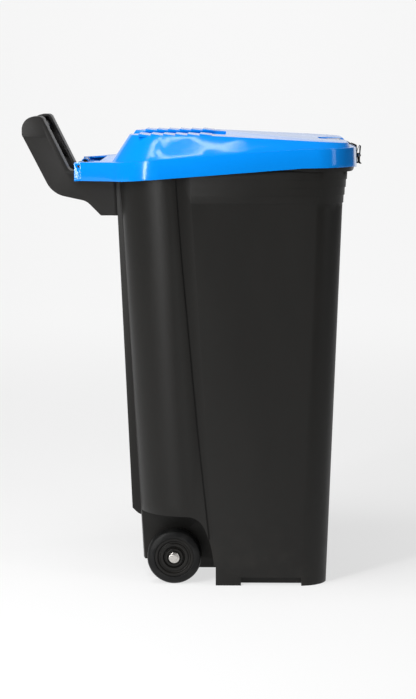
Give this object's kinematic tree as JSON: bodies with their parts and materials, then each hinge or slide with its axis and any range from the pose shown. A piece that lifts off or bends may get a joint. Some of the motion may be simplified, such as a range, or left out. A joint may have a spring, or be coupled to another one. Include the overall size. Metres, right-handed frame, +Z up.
{
  "type": "wheelie bin",
  "caption": "Two-wheeled household bin: tapered black tub with rear spine and feet, rear handle, hinged blue lid with ribbed dome and a front latch lever.",
  "frame": {"origin": "on the floor, at the middle of the bin's length and width", "axes": "+X to the front (latch side), +Y to the left of a person pushing the bin forwards, +Z up"},
  "size_m": [0.6298, 0.4898, 0.8577],
  "materials": {
    "black_pp": "satin, fine moulded grain",
    "handle_pp": "satin, coarser grain",
    "pin_pp": "satin",
    "blue_pp": "semi-gloss",
    "wheel_pp": "satin",
    "tyre": "rubber",
    "latch_pp": "satin",
    "grey_pp": "satin",
    "steel": "zinc plated",
    "bright_steel": "bright zinc"
  },
  "bodies": {
    "bin": {"body_shell": "black_pp", "handle": "handle_pp", "handle_screws": "steel", "hinge_pin_left": "pin_pp", "hinge_pin_right": "pin_pp", "axle": "steel", "axle_cap_left": "bright_steel", "axle_cap_right": "bright_steel", "axle_washer_left": "steel", "axle_washer_right": "steel"},
    "lid": {"lid_shell": "blue_pp", "latch_bracket": "latch_pp", "latch_cover": "grey_pp", "latch_screws": "steel", "latch_pin": "steel", "latch_spring": "bright_steel"},
    "latch_lever": {"latch_lever": "latch_pp"},
    "wheel_left": {"wheel_left": "wheel_pp", "tyre_left": "tyre"},
    "wheel_right": {"wheel_right": "wheel_pp", "tyre_right": "tyre"}
  },
  "joints": [
    {"name": "lid_hinge", "type": "hinge", "parent": "bin", "child": "lid", "pos_m": [-0.21003, 0, 0.7665], "axis": [0, -1, 0], "range_deg": [0, 92]},
    {"name": "latch_lever_pivot", "type": "hinge", "parent": "lid", "child": "latch_lever", "pos_m": [0.31037, 0, 0.783], "axis": [0, -1, 0], "range_deg": [0, 10], "stiffness_Nm_per_rad": 0.4, "springref_deg": -5.73, "deforming": ["latch_spring"]},
    {"name": "wheel_left_spin", "type": "hinge", "parent": "bin", "child": "wheel_left", "pos_m": [-0.033, 0.1745, 0.05], "axis": [0, 1, 0], "continuous": true},
    {"name": "wheel_right_spin", "type": "hinge", "parent": "bin", "child": "wheel_right", "pos_m": [-0.033, -0.1745, 0.05], "axis": [0, 1, 0], "continuous": true}
  ]
}
